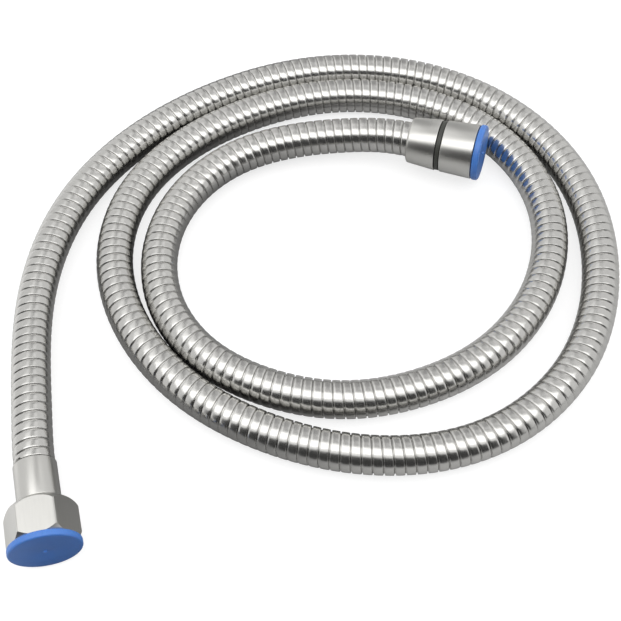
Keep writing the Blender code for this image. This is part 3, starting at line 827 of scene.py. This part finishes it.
def addConeNut():
    back = -coneNutSizes["back"]
    seat = back + coneNutSizes["rearWall"]
    outer = softened([
        (thread["radius"] + thread["mouthStep"], 0.0), (coneNutSizes["mouthRadius"], 0.0),
        (coneNutSizes["rearRadius"], back), (thread["neck"], back),
        (thread["neck"], seat), (thread["radius"], seat),
    ], coneNutSizes["edge"], 3)
    piece = turnedPiece("cone_nut_turned", outer + threadedBore(0.0, seat), coneFrame,
                        coneNutSizes["segments"], satinSteel)
    return addPiece(piece, "cone_nut", "satin_steel", "cone_nut")


coneRingSizes = {"front": 14.7, "back": 16.5, "radius": 11.05, "edge": 0.2, "segments": 96}


def addConeRing():
    front = -coneRingSizes["front"]
    back = -coneRingSizes["back"]
    radius = coneRingSizes["radius"]
    profile = softened([
        (thread["neck"], front), (radius, front), (radius, back), (thread["neck"], back),
    ], coneRingSizes["edge"], 2)
    piece = turnedPiece("bearing_ring_dark", profile, coneFrame, coneRingSizes["segments"], darkPlastic)
    return addPiece(piece, "hose", "ring_plastic", "cone_ring")


coneShellSizes = {
    "front": 16.8,
    "back": 30.1,
    "frontRadius": 11.35,
    "rearRadius": 10.2,
    "frontEdge": [(0.35, 0.0), (0.1, 0.1), (0.0, 0.35)],
    "rearRound": (1.2, 1.1),
    "bore": 8.05,
    "frontWall": 1.8,
    "segments": 128,
}


def addConeShell():
    front = -coneShellSizes["front"]
    back = -coneShellSizes["back"]
    inward, rise = coneShellSizes["rearRound"]
    wall = front - coneShellSizes["frontWall"]
    profile = [(thread["neck"], front)]
    profile += [(coneShellSizes["frontRadius"] - inset, front - behind)
                for inset, behind in coneShellSizes["frontEdge"]]
    profile += quarter(coneShellSizes["rearRadius"], back + rise, inward, rise, 6)
    profile += [(coneShellSizes["bore"], back), (coneShellSizes["bore"], wall), (thread["neck"], wall)]
    piece = turnedPiece("cone_shell_turned", profile, coneFrame, coneShellSizes["segments"], satinSteel)
    return addPiece(piece, "hose", "satin_steel", "cone_shell")


addHexNut()
addFerrule()
addCap("hex_cap_moulded", hexFrame, hexCapSizes, "hex_nut", "hex_cap")
coneNut = addConeNut()
coneRing = addConeRing()
coneShell = addConeShell()
coneCap = addCap("cone_cap_moulded", coneFrame, coneCapSizes, "cone_nut", "cone_cap")
print("fittings made")


# The inside pieces keep their CAD meshes and get their own finish.
def finishNode(name, material):
    nodes[name].data.materials.clear()
    nodes[name].data.materials.append(material)


for nodeName in ("hex_insert", "cone_stem", "cone_tail"):
    finishNode(nodeName, brass)
for nodeName in ("hex_washer", "cone_washer", "cone_o_ring"):
    finishNode(nodeName, washerRubber)
finishNode("inner_tube", tubeRubber)

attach(armour, "hose")
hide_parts("hose_armour")


# Studio: soft panels over a white sweep, in metres. A panel's radiance says how bright it looks.
lamps = {
    "overhead": {"place": (0.05, -0.115, 0.61), "size": (1.2, 0.41), "radiance": 1.20},
    "left_back": {"place": (-0.17, 0.50, 0.62), "size": (0.30, 0.34), "radiance": 0.28},
    "right_back": {"place": (0.21, 0.50, 0.62), "size": (0.26, 0.34), "radiance": 0.26},
    "left_wing": {"place": (-0.31, 0.20, 0.62), "size": (0.34, 0.24), "radiance": 0.46},
}

# The room round them, in levels of grey. Lean is the angle from straight up towards the front, in
# degrees; side is how far a direction goes sideways, from 0 to 1.
room = {
    "farLean": (-58.0, -12.0),      # the room's back, darker low down and lighter high up
    "farLevel": (0.42, 0.66),
    "sideLevel": 0.86,              # its sides, reached over these parts of the way sideways
    "sideFrom": (0.10, 0.32),
    "leftFrom": (0.02, 0.17),
    "brightLevel": 1.15,            # the bright ceiling in front, between the two leans
    "brightLean": (14.0, 40.0),
    "brightSoft": 3.0,
    "brightSide": (0.50, 0.75),
    "darkLevel": 0.05,              # the unlit front, which draws the dark line along the metal
    "darkLean": (40.0, 100.0),
    "darkSoft": (2.0, 4.0),
    "darkRatio": (1.1, 1.6),        # side over front
    "diffuseGain": 1.36,            # the room lights dull surfaces this much more than it shows in metal
}


def addWorld():
    world = bpy.data.worlds.new("studio")
    bpy.context.scene.world = world
    world.use_nodes = True
    tree = world.node_tree
    tree.nodes.clear()
    way = addNode(tree, "TexCoord").outputs["Generated"]
    x, y, z = addNode(tree, "SeparateXYZ", {0: way}).outputs
    toCamera = addNode(tree, "Math.MULTIPLY", y, -1.0)
    side = addNode(tree, "Math.ABSOLUTE", x)
    leftward = addNode(tree, "Math.MULTIPLY", x, -1.0)
    lean = addNode(tree, "Math.MULTIPLY", addNode(tree, "Math.ARCTAN2", toCamera, z), 180.0 / math.pi)

    brightStart, darkStart = room["brightLean"]
    darkEnd = room["darkLean"][1]    # it starts where the bright part ends
    brightSoft = room["brightSoft"]
    startSoft, endSoft = room["darkSoft"]
    smooth = {"interpolation_type": "SMOOTHSTEP"}
    far = addNode(tree, "MapRange", lean, *room["farLean"], *room["farLevel"], **smooth)
    toSide = addNode(tree, "Math.MAXIMUM",
                     addNode(tree, "MapRange", side, *room["sideFrom"], 0.0, 1.0, **smooth),
                     addNode(tree, "MapRange", leftward, *room["leftFrom"], 0.0, 1.0, **smooth))
    level = addNode(tree, "Mix", {0: toSide, 2: far, 3: room["sideLevel"]})
    lit = addNode(tree, "Math.MULTIPLY",
                  addNode(tree, "MapRange", lean, brightStart - brightSoft, brightStart + brightSoft,
                          0.0, 1.0, **smooth),
                  addNode(tree, "MapRange", side, *room["brightSide"], 1.0, 0.0, **smooth))
    ratio = addNode(tree, "Math.DIVIDE", side, addNode(tree, "Math.MAXIMUM", toCamera, 0.001))
    near = addNode(tree, "MapRange", ratio, *room["darkRatio"], 1.0, 0.0, **smooth)
    beyond = addNode(tree, "MapRange", lean, darkStart - startSoft, darkStart + startSoft,
                     0.0, 1.0, **smooth)
    before = addNode(tree, "MapRange", lean, darkStart - startSoft, darkStart + startSoft,
                     1.0, 0.0, **smooth)
    ending = addNode(tree, "MapRange", lean, darkEnd - endSoft, darkEnd + endSoft, 1.0, 0.0, **smooth)
    lit = addNode(tree, "Math.MULTIPLY", lit, before)
    unlit = addNode(tree, "Math.MULTIPLY", addNode(tree, "Math.MULTIPLY", near, beyond), ending)
    level = addNode(tree, "Mix", {0: lit, 2: level, 3: room["brightLevel"]})
    level = addNode(tree, "Mix", {0: unlit, 2: level, 3: room["darkLevel"]})
    gained = addNode(tree, "Math.MULTIPLY", level, room["diffuseGain"])
    path = addNode(tree, "LightPath").outputs
    level = addNode(tree, "Mix", {0: path["Is Diffuse Ray"], 2: level, 3: gained})
    level = addNode(tree, "Mix", {0: path["Is Camera Ray"], 2: level, 3: 1.0})
    light = addNode(tree, "Background", {"Color": (1, 1, 1, 1), "Strength": level})
    addNode(tree, "OutputWorld", {"Surface": light})


def addLamps():
    for name, lamp in lamps.items():
        data = bpy.data.lights.new(name, "AREA")
        data.shape = "RECTANGLE"
        data.size, data.size_y = lamp["size"]
        data.energy = lamp["radiance"] * math.pi * data.size * data.size_y
        obj = bpy.data.objects.new(name, data)
        obj.location = lamp["place"]
        bpy.context.scene.collection.objects.link(obj)


# White paper under the object. The camera sees it white, with the object's shadow on it. The object
# sees a grey table instead, as in the photograph, painted with light and shade: its level changes along
# x, and in the metal's reflections it falls off in front, which is a painted shade.
sweep = {
    "white": 0.34,                  # what takes the shadow
    "glow": 0.74,                   # what the camera sees without any light
    # painted light and shade: the grey that the object sees changes along x, given as (x in metres,
    # level)
    "levels": [(-0.125, 0.80), (-0.080, 0.22), (-0.020, 0.22), (0.050, 0.46), (0.140, 0.50)],
    # painted shade, seen in reflections only: between frontFrom and frontTo in y the grey falls to the
    # front level
    "frontFrom": -0.115,
    "frontTo": -0.185,
    "frontShadeLevel": 0.12,
    "halfSize": 3.0,
    "below": 0.0002,
}


def addFloor():
    bm = bmesh.new()
    bmesh.ops.create_grid(bm, x_segments=1, y_segments=1, size=sweep["halfSize"])
    material, tree, shader = newMaterial("sweep_paper")
    tree.nodes.remove(shader)
    white = addNode(tree, "BsdfDiffuse", {"Color": (sweep["white"],) * 3 + (1.0,)})
    glow = addNode(tree, "Emission", {"Strength": sweep["glow"]})
    spot = addNode(tree, "NewGeometry").outputs["Position"]
    x, y = addNode(tree, "SeparateXYZ", spot).outputs[:2]
    # Painted light and shade: the grey level along x, which reflections and dull surfaces see.
    levels = sweep["levels"]
    level = levels[0][1]
    for (left, low), (right, high) in zip(levels, levels[1:]):
        step = addNode(tree, "MapRange", x, left, right, 0.0, high - low)
        level = addNode(tree, "Math.ADD", step, level)
    # Painted shade: glossy rays alone see the floor darken in front of the object.
    front = addNode(tree, "MapRange", y, sweep["frontTo"], sweep["frontFrom"], sweep["frontShadeLevel"], 1.0)
    path = addNode(tree, "LightPath").outputs
    paintedFrontShade = addNode(tree, "Mix", {0: path["Is Glossy Ray"], 2: 1.0, 3: front})
    level = addNode(tree, "Math.MULTIPLY", level, paintedFrontShade)
    # The grey with its painted light and shade, for every ray but the camera's.
    paintedTable = addNode(tree, "BsdfDiffuse", {"Color": addNode(tree, "CombineXYZ", level, level, level)})
    ground = addNode(tree, "AddShader", white, glow)
    mix = addNode(tree, "MixShader", path["Is Camera Ray"], paintedTable, ground)
    setInputs(tree, tree.nodes["Material Output"], {"Surface": mix})
    floor = meshPiece("floor", bm, material)
    floor.location = (0.0, 0.0, -sweep["below"])


addWorld()
addLamps()
addFloor()
bpy.context.scene.view_settings.view_transform = "Standard"
print("studio set")
